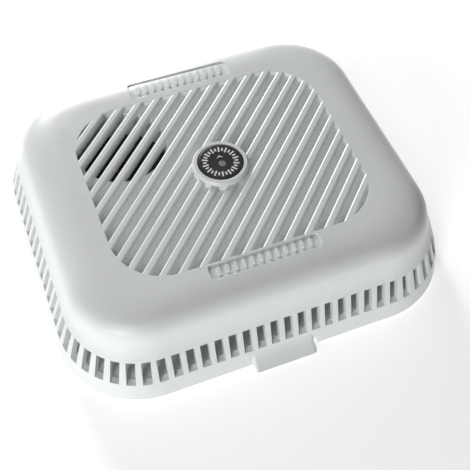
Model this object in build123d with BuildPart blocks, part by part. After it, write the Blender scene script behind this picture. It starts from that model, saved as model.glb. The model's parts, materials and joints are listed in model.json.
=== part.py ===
"""Ceiling carbon monoxide detector: slotted cover, working head, slide-on mounting plate.

Frame: +Z points out of the ceiling or wall, towards the room. z = 0 is the back face of the
mounting plate. X runs along the long side, and -Y is the side with the finger lip.
"""

from build123d import *
from math import atan2, cos, degrees, hypot, pi, radians, sin, sqrt
import os

os.makedirs("parts", exist_ok=True)

# ---------------------------------------------------------------- housing outline (mm)
RIM_HALF_X = 70.5
RIM_HALF_Y = 61.2
RIM_CORNER = 29.5
RIM_Z = 1.0                       # the rim hangs this far off the ceiling
SLOT_FOOT_Z = RIM_Z + 7.4
CREASE_Z = RIM_Z + 16.8           # top of the slotted band, foot of the round shoulder
FACE_Z = RIM_Z + 31.4             # flat front face
FOOT_INSET = 1.4                  # how far the band leans in at the slot feet
CREASE_INSET = 4.65
SHOULDER_RUN = 16.2               # from the crease in to the edge of the flat face
SHOULDER_BEND = 0.36              # share of that run by which the corner radius shrinks
SHOULDER_LEAN = 30.0              # degrees from upright, just above the crease
CREASE_PULL = 8.5                 # how far the curve is drawn along its end directions
FACE_PULL = 17.4
SHOULDER_STEPS = 12
SKIN = 2.4                        # moulded wall
FACE_SKIN = 2.8

# ---------------------------------------------------------------- slots round the band
SLOT_COUNT = 92
SLOT_WIDTH = 3.0
SLOT_TOP_Z = CREASE_Z - 0.1
SLOT_DEPTH = 9.0

# ---------------------------------------------------------------- grille on the front face
PANEL_CENTRE = (0.3, -0.1)
PANEL_HALF_X = 45.7
PANEL_HALF_Y = 37.4
PANEL_CORNER = 18.4
GROOVE_PITCH = 5.15
GROOVE_WIDTH = 2.5
GROOVE_OFFSET = -0.15             # centre of the groove nearest the middle
GROOVE_DEPTH = 1.8
GROOVE_ANGLE = 45.0
HORN_CENTRE = (-29.4, 21.1)
HORN_WINDOW_R = 16.0
WINDOW_OVERCUT = 0.5
HORN_SKIRT_R = 16.4
HORN_SKIRT_WALL = 1.6
HORN_SKIRT_FOOT_Z = 18.6

# ---------------------------------------------------------------- test button
BUTTON_CENTRE = (0.3, 0.0)
BUTTON_R = 7.8
BUTTON_GAP = 0.3
BUTTON_PROUD = 1.2
BUTTON_EDGE = 0.4
BUTTON_TRAVEL = 1.0
COLLAR_R = 10.0
COLLAR_TOP_R = 9.2
COLLAR_HEIGHT = 1.2
FLANGE_R = 9.4
FLANGE_THICKNESS = 1.2
FLANGE_GAP = 0.15
PIPE_R = 1.3
PIPE_PLACE = (BUTTON_CENTRE[0] + 0.3, BUTTON_CENTRE[1] - 1.0)
PIPE_PROUD = 0.15
PIPE_EDGE = 0.3
PIPE_LED_GAP = 1.4
STEM_REACH = 7.2                  # switch and button stem stand this far from the axis
STEM_R = 1.4
MARK_HEIGHT = 0.1
TICK_COUNT = 28
TICK_MID_R = 5.5
TICK_LENGTHS = (2.1, 1.3)         # long and short ticks take turns
TICK_WIDTH = 0.55
CHEVRON_RISE = 2.2                # the chevron stands this far towards +Y
CHEVRON_HALF = 1.2

# ---------------------------------------------------------------- moulded label panels
LABEL_CENTRE_X = 0.3
LABEL_HALF = 19.2
LABEL_CORNER = 1.6
LABEL_DEPTH = 0.5
FRONT_LABEL_Y = (-43.6, -37.9)
BACK_LABEL_Y = (39.9, 48.2)
PIP_PITCH = 2.9
PIP_WIDTH = 1.1
PIP_MARGIN = 1.5                  # clear border round a panel's pips
PIP_LENGTH_MAX = 4.0

# ---------------------------------------------------------------- finger lip and rim notch
LIP_HALF = 11.3
LIP_REACH = 3.5                   # how far the lip's foot stands out from the band
LIP_TOP_Z = 8.2
LIP_SINK = 0.15                   # how deep the top of the lip dives under the band
LIP_STEPS = 5
LIP_CORNER = 1.4
LIP_ROOT_Y = -56.0
LIP_WALL = 1.7
NOTCH_TOP_Z = 4.6

# ---------------------------------------------------------------- base, board and fasteners
BASE_Z = 6.0
BASE_THICKNESS = 2.0
BASE_TOP_Z = BASE_Z + BASE_THICKNESS
BASE_GAP = 0.6
POST_PLACES = [(54, 38), (-54, 38), (54, -38), (-54, -38)]
POST_R = 3.6
POST_FOOT_Z = BASE_TOP_Z + 0.05
POST_PILOT_DEPTH = 9.0
COVER_SCREW_R = 1.3
COVER_SCREW_LENGTH = 8.0
COVER_SCREW_HEAD_R = 2.7
COVER_SCREW_HEAD = 1.75
COVER_SCREW_SINK = 0.95           # how deep the head sits in its recess
RECESS_R = 2.9
RECESS_DEPTH = 1.0
DRIVE_LENGTH = 3.0
DRIVE_WIDTH = 0.7
DRIVE_DEPTH = 0.95
BOARD_Z = 13.0
BOARD_THICKNESS = 1.6
BOARD_TOP_Z = BOARD_Z + BOARD_THICKNESS
BOARD_X = (-47.0, 16.6)
BOARD_HALF_Y = 44.0
BOARD_CORNER = 3.0
BOARD_SCREW_PLACES = [(-42, 39.5), (12.5, 39.5), (-42, -39.5), (12.5, -39.5)]
BOARD_SCREW_R = 1.1
BOARD_SCREW_LENGTH = 6.0
BOARD_SCREW_HEAD_R = 2.4
BOARD_SCREW_HEAD = 1.6
STANDOFF_R = 3.0
PILOT_GAP = 0.05
SCREW_GAP = 0.3

# ---------------------------------------------------------------- battery and its bay
BATTERY_X = 33.0
BATTERY_SIZE = (26.2, 46.4, 17.2)
BATTERY_CORNER = 2.0
BATTERY_FOOT_Y = -26.0
BATTERY_Z = 6.6
TERMINAL_REACH = 6.35             # half the spacing of the two snap terminals
TERMINAL_R = 2.8
SOCKET_R = 4.2
SOCKET_BORE_R = 2.9
TERMINAL_HEIGHT = 2.4
CLIP_SIZE = (25.0, 12.4)
CLIP_GAP = 0.3
CLIP_THICKNESS = 3.6
CLIP_POCKET_R = 4.7
CLIP_POCKET_DEPTH = 2.3
BAY_GAP = 0.5
BAY_CLIP_ROOM = 2.6
BAY_ROOF_GAP = 0.3
BAY_WALL = 1.5
BAY_LEDGE = 2.0                   # what is left of the clip-end wall above the base
LEAD_R = 0.7
LEAD_BEND_R = 2.5
LEAD_ARCH = 4.5
RED_LEAD_OVER = (8.0, -19.0, 10.0, 5.0)     # straight run, then a point over the bay's end
RED_LEAD_PAD = (8.0, 6.0)
BLACK_LEAD_OVER = (10.0, -6.4, 13.0, 4.0)
BLACK_LEAD_PAD = (12.0, 12.0)

# ---------------------------------------------------------------- mounting plate
PLATE_HALF_X = 48.0
PLATE_HALF_Y = 44.0
PLATE_CORNER = 14.0
PLATE_THICKNESS = 2.5
PLATE_EDGE = 0.4
HOOK_STANDOFF = 2.6               # the hooks' webs stand this far outside the plate
HOOK_LENGTH = 9.0
HOOK_Y = 22.0
HOOK_WEB = 2.0
HOOK_LAP = 3.0                    # how far a head hook reaches under its plate lug
HOOK_GAP = 0.3
HOOK_THICKNESS = 1.0
LUG_ROOT = 2.6
LUG_TOP_Z = 5.3
FIXING_SLOT_SPACING = 55.6        # spans the 50.8 and 60.3 mm screw spacings of ceiling boxes
FIXING_SLOT_LENGTH = 9.4
FIXING_HOLE_R = 2.25

# ---------------------------------------------------------------- release catch
CATCH_HALF = 8.0
CATCH_ROOT_Y = -22.3
CATCH_TIP_Y = -51.5
CATCH_Z = 1.3
CATCH_THICKNESS = 1.5
CATCH_NOSE_Y = -40.0
CATCH_NOSE_WIDTH = 2.0
CATCH_NOSE_SLOPE = 3.2
CATCH_NOSE_TOP_Z = 4.2
CATCH_GAP = 0.4
CATCH_RIB_GAP = 0.3
CATCH_RIB = 1.6
CATCH_RIB_LENGTH = 12.8

# ---------------------------------------------------------------- gas sensor
SENSOR_CENTRE = (-1.0, -27.0)
SENSOR_R = 10.0
SENSOR_Z = BOARD_TOP_Z + 1.2
SENSOR_HEIGHT = 11.4
SENSOR_EDGE = 0.8
SENSOR_CAP_R = 7.8
SENSOR_INLET_R = 1.6
SENSOR_CAP_HEIGHT = 1.8
SENSOR_PIN_CIRCLE = 6.8
SENSOR_PINS = 3
SENSOR_PIN_R = 0.75

# ---------------------------------------------------------------- horn
HORN_R = 17.6
HORN_Z = BOARD_TOP_Z + 0.4
HORN_TOP_Z = HORN_SKIRT_FOOT_Z - 0.2
HORN_WALL = 1.2
HORN_CLAMP_R = 9.1
HORN_CLAMP = 1.0
HORN_FEET = 3
HORN_FOOT_TURN = 20.0
PORT_R = 3.0
DISC_R = 13.5
DISC_THICKNESS = 0.3
CERAMIC_R = 9.5
CERAMIC_THICKNESS = 0.25
CONTACT_R = 0.6
CONTACT_REACH = 12.0

# ---------------------------------------------------------------- indicator, spring and switch
LED_R = 1.5
LED_HEIGHT = 5.2
LED_DOME = 1.35
SHROUD_R = 3.8
SHROUD_BORE_R = 2.0
SHROUD_TOP_Z = 22.4
SPRING_R = 3.3
SPRING_WIRE = 0.5
SPRING_TURNS = 4
SPRING_GAP = 0.05
SWITCH_SIZE = 6.0
SWITCH_CORNER = 0.5
SWITCH_HEIGHT = 4.0
SWITCH_FLOOR = 1.0
PLUNGER_R = 1.7
PLUNGER_GAP = 0.08
PLUNGER_FLOOR_GAP = 0.2
PLUNGER_TOP_Z = BOARD_TOP_Z + 6.2
STEM_GAP = 0.05

# ---------------------------------------------------------------- parts on the board
CHIP_LIFT = 0.3
PIN_PITCH = 1.27
PIN_WIDTH = 0.45
CONTROLLER_PLACE = (-27.0, -17.0)
CONTROLLER_SIZE = (7.5, 12.8, 2.2)
CONTROLLER_PINS = (9.0, 9, 1.6, 0.7)     # row spacing, pins in a row, length, height
DRIVER_PLACE = (-2.0, 20.0)
DRIVER_SIZE = (4.0, 5.0, 1.6)
DRIVER_PINS = (5.2, 4, 1.2, 0.6)
CAPACITOR_LARGE = (3.15, 11.0)           # radius and height
CAPACITOR_LARGE_PLACES = [(-40, -19), (-40, -29)]
CAPACITOR_SMALL = (2.5, 7.0)
CAPACITOR_SMALL_PLACES = [(-4, 36)]
RESISTOR_PLACE = (-24.0, -35.0)
RESISTOR_SIZE = (2.0, 1.25, 0.55)
RESISTOR_GRID = (4.0, 3.0, 4, 3)         # spacing in X and Y, then counts
COIL_PLACE = (9.0, 17.5)
COIL_FLANGE = (4.5, 1.4)
COIL_WINDING = (3.9, 6.0)
CRYSTAL_PLACE = (-14.0, -17.0)
CRYSTAL_SIZE = (11.0, 4.6, 3.6)
RATING_LABEL_PLACE = (-24.0, 0.0)
RATING_LABEL_SIZE = (36.0, 50.0, 0.15)
RATING_LABEL_CORNER = 1.5


def level(z, inset, corner_inset, skin):
    """One level of the housing: height, half sizes and corner radius, skin deep inside it."""
    half_x = RIM_HALF_X - inset - skin
    half_y = RIM_HALF_Y - inset - skin
    return z, half_x, half_y, RIM_CORNER - corner_inset - skin


def band_levels(skin, foot_z=RIM_Z):
    """The slotted band leans in a little below the slots and more beside them."""
    lower_slope = FOOT_INSET / (SLOT_FOOT_Z - RIM_Z)
    start_inset = (foot_z - RIM_Z) * lower_slope
    return [
        level(foot_z, start_inset, start_inset, skin),
        level(SLOT_FOOT_Z, FOOT_INSET, FOOT_INSET, skin),
        level(CREASE_Z, CREASE_INSET, CREASE_INSET, skin),
    ]


def shoulder_levels(skin, face_skin):
    """The shoulder follows one cubic curve from the crease to the flat face."""
    rise = FACE_Z - CREASE_Z
    lean = radians(SHOULDER_LEAN)
    insets = (0, CREASE_PULL * sin(lean), SHOULDER_RUN - FACE_PULL, SHOULDER_RUN)
    heights = (0, CREASE_PULL * cos(lean), rise, rise)
    levels = []
    for step in range(SHOULDER_STEPS + 1):
        share = step / SHOULDER_STEPS
        rest = 1 - share
        weights = (rest**3, 3 * rest**2 * share, 3 * rest * share**2, share**3)
        inset = sum(weight * value for weight, value in zip(weights, insets))
        height = sum(weight * value for weight, value in zip(weights, heights))
        levels.append(level(
            CREASE_Z + height * (rise - face_skin) / rise,
            CREASE_INSET + inset,
            CREASE_INSET + SHOULDER_BEND * inset,
            skin * rest,
        ))
    return levels


def outlines(levels):
    """One rounded rectangle per level, as the sections of a loft."""
    faces = []
    for z, half_x, half_y, corner in levels:
        with BuildSketch(Plane.XY.offset(z)) as outline:
            RectangleRounded(2 * half_x, 2 * half_y, corner)
        faces.append(outline.sketch.face())
    return faces


def ring_places(half_x, half_y, corner, count):
    """Equally spaced places round a rounded rectangle, as (x, y, outward heading in degrees)."""
    run_x = half_x - corner
    run_y = half_y - corner
    bend = corner * pi / 2
    quarter = run_x + bend + run_y
    places = []
    for index in range(count // 4):
        along = (index + 0.5) * 4 * quarter / count
        if along < run_x:
            x, y, heading = along, half_y, 90.0
        elif along < run_x + bend:
            heading = 90 - degrees((along - run_x) / corner)
            x = run_x + corner * cos(radians(heading))
            y = run_y + corner * sin(radians(heading))
        else:
            x, y, heading = half_x, run_y - (along - run_x - bend), 0.0
        for side_x, side_y in ((1, 1), (-1, 1), (-1, -1), (1, -1)):
            turned = degrees(atan2(side_y * sin(radians(heading)), side_x * cos(radians(heading))))
            places.append((side_x * x, side_y * y, turned))
    return places


def groove_stripes():
    """Diagonal stripes across the whole panel, drawn on the current sketch plane."""
    reach = hypot(PANEL_HALF_X, PANEL_HALF_Y) + GROOVE_PITCH
    first = -int(reach / GROOVE_PITCH)
    centres = [GROOVE_OFFSET + GROOVE_PITCH * index for index in range(first, -first + 1)]
    places = [(offset / sqrt(2), -offset / sqrt(2)) for offset in centres]
    with Locations(*places):
        Rectangle(2 * reach, GROOVE_WIDTH, rotation=GROOVE_ANGLE)


# ================================================================ front cover
# Space inside the moulded skin, from below the rim up to the roof.
with BuildPart() as cover_void:
    loft(outlines(band_levels(SKIN, RIM_Z - 1)), ruled=True)
    loft(outlines(shoulder_levels(SKIN, FACE_SKIN)), ruled=True)

# The same form just under the outer surface, which is the floor of the label panels.
with BuildPart() as label_floor:
    loft(outlines(band_levels(LABEL_DEPTH)), ruled=True)
    loft(outlines(shoulder_levels(LABEL_DEPTH, LABEL_DEPTH)), ruled=True)

# Sunk label panels, with a row of plain pips left standing in each.
pip_count = int(2 * (LABEL_HALF - PIP_MARGIN) / PIP_PITCH)
with BuildPart() as label_cutter:
    with BuildSketch(Plane.XY.offset(CREASE_Z)):
        for low_y, high_y in (FRONT_LABEL_Y, BACK_LABEL_Y):
            with Locations((LABEL_CENTRE_X, (low_y + high_y) / 2)):
                RectangleRounded(2 * LABEL_HALF, high_y - low_y, LABEL_CORNER)
                with GridLocations(PIP_PITCH, 1, pip_count, 1):
                    pip_length = min(high_y - low_y - 2 * PIP_MARGIN, PIP_LENGTH_MAX)
                    SlotOverall(pip_length, PIP_WIDTH, rotation=90, mode=Mode.SUBTRACT)
    extrude(amount=FACE_Z - CREASE_Z + 1)
    add(label_floor.part, mode=Mode.SUBTRACT)

# Screw posts, trimmed to the inside of the shoulder.
with BuildPart() as post_trim:
    loft(outlines(band_levels(SKIN / 2)), ruled=True)
    loft(outlines(shoulder_levels(SKIN / 2, FACE_SKIN / 2)), ruled=True)
with BuildPart() as screw_posts:
    with BuildSketch(Plane.XY.offset(POST_FOOT_Z)):
        with Locations(*POST_PLACES):
            Circle(POST_R)
    extrude(amount=FACE_Z - POST_FOOT_Z)
    add(post_trim.part, mode=Mode.INTERSECT)

slot_inset = (FOOT_INSET + CREASE_INSET + SKIN) / 2
slot_places = ring_places(
    RIM_HALF_X - slot_inset,
    RIM_HALF_Y - slot_inset,
    RIM_CORNER - FOOT_INSET - SKIN / 2,
    SLOT_COUNT,
)

# Sections of the finger lip, from its foot at the rim up to where it meets the band.
lip_sections = []
for step in range(LIP_STEPS + 1):
    climb = step / LIP_STEPS
    lip_z = RIM_Z + climb * (LIP_TOP_Z - RIM_Z)
    band_y = -RIM_HALF_Y + FOOT_INSET * (lip_z - RIM_Z) / (SLOT_FOOT_Z - RIM_Z)
    lip_y = band_y + LIP_SINK * climb - LIP_REACH * (1 - climb)**2
    with BuildSketch(Plane.XY.offset(lip_z)) as lip_outline:
        with Locations((0, (lip_y + LIP_ROOT_Y) / 2)):
            RectangleRounded(2 * LIP_HALF, LIP_ROOT_Y - lip_y, LIP_CORNER)
    lip_sections.append(lip_outline.sketch.face())

with BuildPart() as front_cover:
    loft(outlines(band_levels(0)), ruled=True)
    loft(outlines(shoulder_levels(0, 0)), ruled=True)
    # raised collar round the button
    with BuildSketch(Plane.XY.offset(FACE_Z)):
        with Locations(BUTTON_CENTRE):
            Circle(COLLAR_R)
    extrude(amount=COLLAR_HEIGHT, taper=degrees(atan2(COLLAR_R - COLLAR_TOP_R, COLLAR_HEIGHT)))
    # finger lip: it leaves the band below the slots and flares out towards the rim
    loft(lip_sections, ruled=True)
    # hollow inside
    add(cover_void.part, mode=Mode.SUBTRACT)
    # hollow behind the lip, open at its +X end and through the rim
    with BuildSketch(Plane.YZ.offset(-LIP_HALF + LIP_WALL)):
        with BuildLine():
            Polyline(
                (LIP_ROOT_Y, NOTCH_TOP_Z),
                (-RIM_HALF_Y, NOTCH_TOP_Z),
                (-RIM_HALF_Y - LIP_REACH + LIP_WALL, RIM_Z + LIP_WALL / 2),
                (-RIM_HALF_Y - LIP_REACH + LIP_WALL, 0),
                (LIP_ROOT_Y, 0),
                close=True,
            )
        make_face()
    extrude(amount=2 * LIP_HALF, mode=Mode.SUBTRACT)
    # inner features: screw posts and the skirt of the horn chamber
    add(screw_posts.part)
    with BuildSketch(Plane.XY.offset(HORN_SKIRT_FOOT_Z)):
        with Locations(HORN_CENTRE):
            Circle(HORN_SKIRT_R + HORN_SKIRT_WALL)
            Circle(HORN_SKIRT_R, mode=Mode.SUBTRACT)
    extrude(amount=FACE_Z - FACE_SKIN / 2 - HORN_SKIRT_FOOT_Z)
    # ventilation slots through the band
    slot_mid_z = (SLOT_FOOT_Z + SLOT_TOP_Z) / 2
    with Locations(*[Location((x, y, slot_mid_z), (0, 0, turn)) for x, y, turn in slot_places]):
        Box(SLOT_DEPTH, SLOT_WIDTH, SLOT_TOP_Z - SLOT_FOOT_Z, mode=Mode.SUBTRACT)
    # diagonal grooves of the grille, which stop at the panel's edge and at the button collar
    with BuildSketch(Plane.XY.offset(FACE_Z)):
        groove_stripes()
        with Locations(PANEL_CENTRE):
            RectangleRounded(2 * PANEL_HALF_X, 2 * PANEL_HALF_Y, PANEL_CORNER, mode=Mode.INTERSECT)
        with Locations(BUTTON_CENTRE):
            Circle(COLLAR_R, mode=Mode.SUBTRACT)
    extrude(amount=-GROOVE_DEPTH, mode=Mode.SUBTRACT)
    # sound window: inside this circle the grooves run right through
    with BuildSketch(Plane.XY.offset(FACE_Z)):
        groove_stripes()
        with Locations(HORN_CENTRE):
            Circle(HORN_WINDOW_R, mode=Mode.INTERSECT)
        with Locations(PANEL_CENTRE):
            RectangleRounded(2 * PANEL_HALF_X, 2 * PANEL_HALF_Y, PANEL_CORNER, mode=Mode.INTERSECT)
    extrude(amount=-FACE_SKIN - WINDOW_OVERCUT, mode=Mode.SUBTRACT)
    # label panels and button hole
    add(label_cutter.part, mode=Mode.SUBTRACT)
    with Locations((*BUTTON_CENTRE, FACE_Z)):
        Cylinder(BUTTON_R + BUTTON_GAP, 4 * FACE_SKIN, mode=Mode.SUBTRACT)
    # pilot holes for the cover screws
    with Locations(*[(x, y, POST_FOOT_Z) for x, y in POST_PLACES]):
        Cylinder(COVER_SCREW_R + PILOT_GAP, 2 * POST_PILOT_DEPTH, mode=Mode.SUBTRACT)
front_cover.part.label = "front_cover"
export_step(front_cover.part, "parts/front_cover.step")

# ================================================================ test button
button_top_z = FACE_Z + BUTTON_PROUD
flange_top_z = FACE_Z - FACE_SKIN - FLANGE_GAP
flange_foot_z = flange_top_z - FLANGE_THICKNESS
stem_x = BUTTON_CENTRE[0] + STEM_REACH

with BuildPart() as button_cap:
    with BuildSketch(Plane.XY.offset(flange_foot_z)):
        with Locations(BUTTON_CENTRE):
            Circle(FLANGE_R)
    extrude(amount=FLANGE_THICKNESS)
    with BuildSketch(Plane.XY.offset(flange_foot_z)):
        with Locations(BUTTON_CENTRE):
            Circle(BUTTON_R)
    extrude(amount=button_top_z - flange_foot_z)
    top_edge = button_cap.edges().filter_by(GeomType.CIRCLE).group_by(Axis.Z)[-1]
    fillet(top_edge, BUTTON_EDGE)
    # bore that holds the light pipe
    with Locations((*PIPE_PLACE, button_top_z)):
        Hole(PIPE_R, depth=button_top_z - flange_foot_z)
    # off-centre stem that presses the switch
    with BuildSketch(Plane.XY.offset(flange_foot_z)):
        with Locations((stem_x, BUTTON_CENTRE[1])):
            Circle(STEM_R)
    extrude(amount=-(flange_foot_z - PLUNGER_TOP_Z - STEM_GAP))
button_cap.part.label = "button_cap"
export_step(button_cap.part, "parts/button_cap.step")

# Plain raised marks on the button: a ring of radial ticks and one chevron.
with BuildPart() as button_marks:
    with BuildSketch(Plane.XY.offset(button_top_z)):
        with Locations(BUTTON_CENTRE):
            for turn, tick_length in enumerate(TICK_LENGTHS):
                with PolarLocations(TICK_MID_R, TICK_COUNT // 2, start_angle=360 * turn / TICK_COUNT):
                    Rectangle(tick_length, TICK_WIDTH)
        with Locations((PIPE_PLACE[0], BUTTON_CENTRE[1] + CHEVRON_RISE)):
            Polygon(
                (-CHEVRON_HALF, -CHEVRON_HALF / 2),
                (0, CHEVRON_HALF / 2),
                (CHEVRON_HALF, -CHEVRON_HALF / 2),
                (0, 0),
            )
    extrude(amount=MARK_HEIGHT)
button_marks.part.label = "button_marks"
export_step(button_marks.part, "parts/button_marks.step")

pipe_foot_z = BOARD_TOP_Z + LED_HEIGHT + PIPE_LED_GAP
with BuildPart() as light_pipe:
    with BuildSketch(Plane.XY.offset(pipe_foot_z)):
        with Locations(PIPE_PLACE):
            Circle(PIPE_R)
    extrude(amount=button_top_z + PIPE_PROUD - pipe_foot_z)
    fillet(light_pipe.edges().filter_by(GeomType.CIRCLE).group_by(Axis.Z)[-1], PIPE_EDGE)
light_pipe.part.label = "light_pipe"
export_step(light_pipe.part, "parts/light_pipe.step")

spring_height = flange_foot_z - SHROUD_TOP_Z - SPRING_WIRE - 2 * SPRING_GAP
with BuildPart() as button_spring:
    spring_start = (*PIPE_PLACE, SHROUD_TOP_Z + SPRING_WIRE / 2 + SPRING_GAP)
    with BuildLine() as coil:
        Helix(
            pitch=spring_height / SPRING_TURNS,
            height=spring_height,
            radius=SPRING_R,
            center=spring_start,
        )
    with BuildSketch(Plane(origin=coil.line @ 0, z_dir=coil.line % 0)):
        Circle(SPRING_WIRE / 2)
    sweep(path=coil.line, is_frenet=True)
button_spring.part.label = "button_spring"
export_step(button_spring.part, "parts/button_spring.step")

# ================================================================ push switch under the stem
with BuildPart() as switch_body:
    with BuildSketch(Plane.XY.offset(BOARD_TOP_Z)):
        with Locations((stem_x, BUTTON_CENTRE[1])):
            RectangleRounded(SWITCH_SIZE, SWITCH_SIZE, SWITCH_CORNER)
    extrude(amount=SWITCH_HEIGHT)
    with Locations((stem_x, BUTTON_CENTRE[1], BOARD_TOP_Z + SWITCH_HEIGHT)):
        Hole(PLUNGER_R + PLUNGER_GAP, depth=SWITCH_HEIGHT - SWITCH_FLOOR)
switch_body.part.label = "switch_body"
export_step(switch_body.part, "parts/switch_body.step")

plunger_foot_z = BOARD_TOP_Z + SWITCH_FLOOR + PLUNGER_FLOOR_GAP + BUTTON_TRAVEL
with BuildPart() as switch_plunger:
    with BuildSketch(Plane.XY.offset(plunger_foot_z)):
        with Locations((stem_x, BUTTON_CENTRE[1])):
            Circle(PLUNGER_R)
    extrude(amount=PLUNGER_TOP_Z - plunger_foot_z)
switch_plunger.part.label = "switch_plunger"
export_step(switch_plunger.part, "parts/switch_plunger.step")

# ================================================================ indicator
with BuildPart() as status_led:
    with BuildSketch(Plane.XY.offset(BOARD_TOP_Z)):
        with Locations(PIPE_PLACE):
            Circle(LED_R)
    extrude(amount=LED_HEIGHT)
    fillet(status_led.edges().filter_by(GeomType.CIRCLE).group_by(Axis.Z)[-1], LED_DOME)
status_led.part.label = "status_led"
export_step(status_led.part, "parts/status_led.step")

with BuildPart() as led_shroud:
    with BuildSketch(Plane.XY.offset(BOARD_TOP_Z)):
        with Locations(PIPE_PLACE):
            Circle(SHROUD_R)
            Circle(SHROUD_BORE_R, mode=Mode.SUBTRACT)
    extrude(amount=SHROUD_TOP_Z - BOARD_TOP_Z)
led_shroud.part.label = "led_shroud"
export_step(led_shroud.part, "parts/led_shroud.step")

# ================================================================ base housing
bay_half_x = BATTERY_SIZE[0] / 2 + BAY_GAP
bay_foot_y = BATTERY_FOOT_Y - BAY_GAP
bay_head_y = BATTERY_FOOT_Y + BATTERY_SIZE[1] + BAY_CLIP_ROOM + CLIP_THICKNESS
bay_centre = (BATTERY_X, (bay_foot_y + bay_head_y) / 2)
bay_length = bay_head_y - bay_foot_y
bay_roof_z = BATTERY_Z + BATTERY_SIZE[2] + BAY_ROOF_GAP
hook_x = PLATE_HALF_X + HOOK_STANDOFF
hook_sides = [(side, row) for side in (1, -1) for row in (1, -1)]
base_inset = FOOT_INSET * (BASE_TOP_Z - RIM_Z) / (SLOT_FOOT_Z - RIM_Z) + SKIN + BASE_GAP

with BuildPart() as base_housing:
    with BuildSketch(Plane.XY.offset(BASE_Z)):
        RectangleRounded(
            2 * (RIM_HALF_X - base_inset),
            2 * (RIM_HALF_Y - base_inset),
            RIM_CORNER - base_inset,
        )
    extrude(amount=BASE_THICKNESS)
    # battery bay: side walls, foot wall and roof; its clip end stays open above the board
    with BuildSketch(Plane.XY.offset(BASE_Z)):
        with Locations(bay_centre):
            Rectangle(2 * (bay_half_x + BAY_WALL), bay_length + 2 * BAY_WALL)
    extrude(amount=bay_roof_z + BAY_WALL - BASE_Z)
    with BuildSketch(Plane.XY.offset(BASE_Z)):
        with Locations(bay_centre):
            Rectangle(2 * bay_half_x, bay_length)
    extrude(amount=bay_roof_z - BASE_Z, mode=Mode.SUBTRACT)
    with BuildSketch(Plane.XY.offset(BASE_TOP_Z + BAY_LEDGE)):
        with Locations((BATTERY_X, bay_head_y)):
            Rectangle(2 * bay_half_x, 4 * BAY_WALL)
    extrude(amount=bay_roof_z - BASE_TOP_Z - BAY_LEDGE, mode=Mode.SUBTRACT)
    # standoffs for the board
    with BuildSketch(Plane.XY.offset(BASE_TOP_Z)):
        with Locations(*BOARD_SCREW_PLACES):
            Circle(STANDOFF_R)
            Circle(BOARD_SCREW_R + PILOT_GAP, mode=Mode.SUBTRACT)
    extrude(amount=BOARD_Z - BASE_TOP_Z)
    # four hooks that reach under the lugs of the mounting plate
    hook_foot_z = PLATE_THICKNESS + HOOK_GAP
    for side, row in hook_sides:
        with Locations((side * (hook_x + HOOK_WEB / 2), row * HOOK_Y, (hook_foot_z + BASE_Z) / 2)):
            Box(HOOK_WEB, HOOK_LENGTH, BASE_Z - hook_foot_z)
        with Locations((side * (hook_x - HOOK_LAP / 2), row * HOOK_Y, hook_foot_z + HOOK_THICKNESS / 2)):
            Box(HOOK_LAP, HOOK_LENGTH, HOOK_THICKNESS)
    # rib that meets the nose of the release catch
    rib_foot_z = CATCH_NOSE_TOP_Z + CATCH_RIB_GAP
    with Locations((0, CATCH_NOSE_Y - CATCH_NOSE_WIDTH / 2 - CATCH_RIB, (rib_foot_z + BASE_Z) / 2)):
        Box(CATCH_RIB_LENGTH, CATCH_RIB, BASE_Z - rib_foot_z)
    # clearance holes and head recesses for the cover screws
    with Locations(*[Location((x, y, BASE_Z), (180, 0, 0)) for x, y in POST_PLACES]):
        CounterBoreHole(COVER_SCREW_R + SCREW_GAP, RECESS_R, RECESS_DEPTH)
base_housing.part.label = "base_housing"
export_step(base_housing.part, "parts/base_housing.step")

# ================================================================ screws
head_foot_z = BASE_Z - COVER_SCREW_HEAD + COVER_SCREW_SINK
with BuildPart() as cover_screws:
    with BuildSketch(Plane.XY.offset(head_foot_z)):
        with Locations(*POST_PLACES):
            Circle(COVER_SCREW_HEAD_R)
    extrude(amount=COVER_SCREW_HEAD)
    with BuildSketch(Plane.XY.offset(BASE_Z + COVER_SCREW_SINK)):
        with Locations(*POST_PLACES):
            Circle(COVER_SCREW_R)
    extrude(amount=COVER_SCREW_LENGTH)
    with BuildSketch(Plane.XY.offset(head_foot_z)):
        with Locations(*POST_PLACES):
            Rectangle(DRIVE_LENGTH, DRIVE_WIDTH)
            Rectangle(DRIVE_WIDTH, DRIVE_LENGTH)
    extrude(amount=DRIVE_DEPTH, mode=Mode.SUBTRACT)
cover_screws.part.label = "cover_screws"
export_step(cover_screws.part, "parts/cover_screws.step")

with BuildPart() as board_screws:
    with BuildSketch(Plane.XY.offset(BOARD_TOP_Z)):
        with Locations(*BOARD_SCREW_PLACES):
            Circle(BOARD_SCREW_HEAD_R)
    extrude(amount=BOARD_SCREW_HEAD)
    with BuildSketch(Plane.XY.offset(BOARD_TOP_Z)):
        with Locations(*BOARD_SCREW_PLACES):
            Circle(BOARD_SCREW_R)
    extrude(amount=-BOARD_SCREW_LENGTH)
    with BuildSketch(Plane.XY.offset(BOARD_TOP_Z + BOARD_SCREW_HEAD)):
        with Locations(*BOARD_SCREW_PLACES):
            Rectangle(DRIVE_LENGTH, DRIVE_WIDTH)
            Rectangle(DRIVE_WIDTH, DRIVE_LENGTH)
    extrude(amount=-DRIVE_DEPTH, mode=Mode.SUBTRACT)
board_screws.part.label = "board_screws"
export_step(board_screws.part, "parts/board_screws.step")

# ================================================================ circuit board
with BuildPart() as circuit_board:
    with BuildSketch(Plane.XY.offset(BOARD_Z)):
        with Locations(((BOARD_X[0] + BOARD_X[1]) / 2, 0)):
            RectangleRounded(BOARD_X[1] - BOARD_X[0], 2 * BOARD_HALF_Y, BOARD_CORNER)
        with Locations(*BOARD_SCREW_PLACES):
            Circle(BOARD_SCREW_R + SCREW_GAP, mode=Mode.SUBTRACT)
    extrude(amount=BOARD_THICKNESS)
circuit_board.part.label = "circuit_board"
export_step(circuit_board.part, "parts/circuit_board.step")

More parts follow.
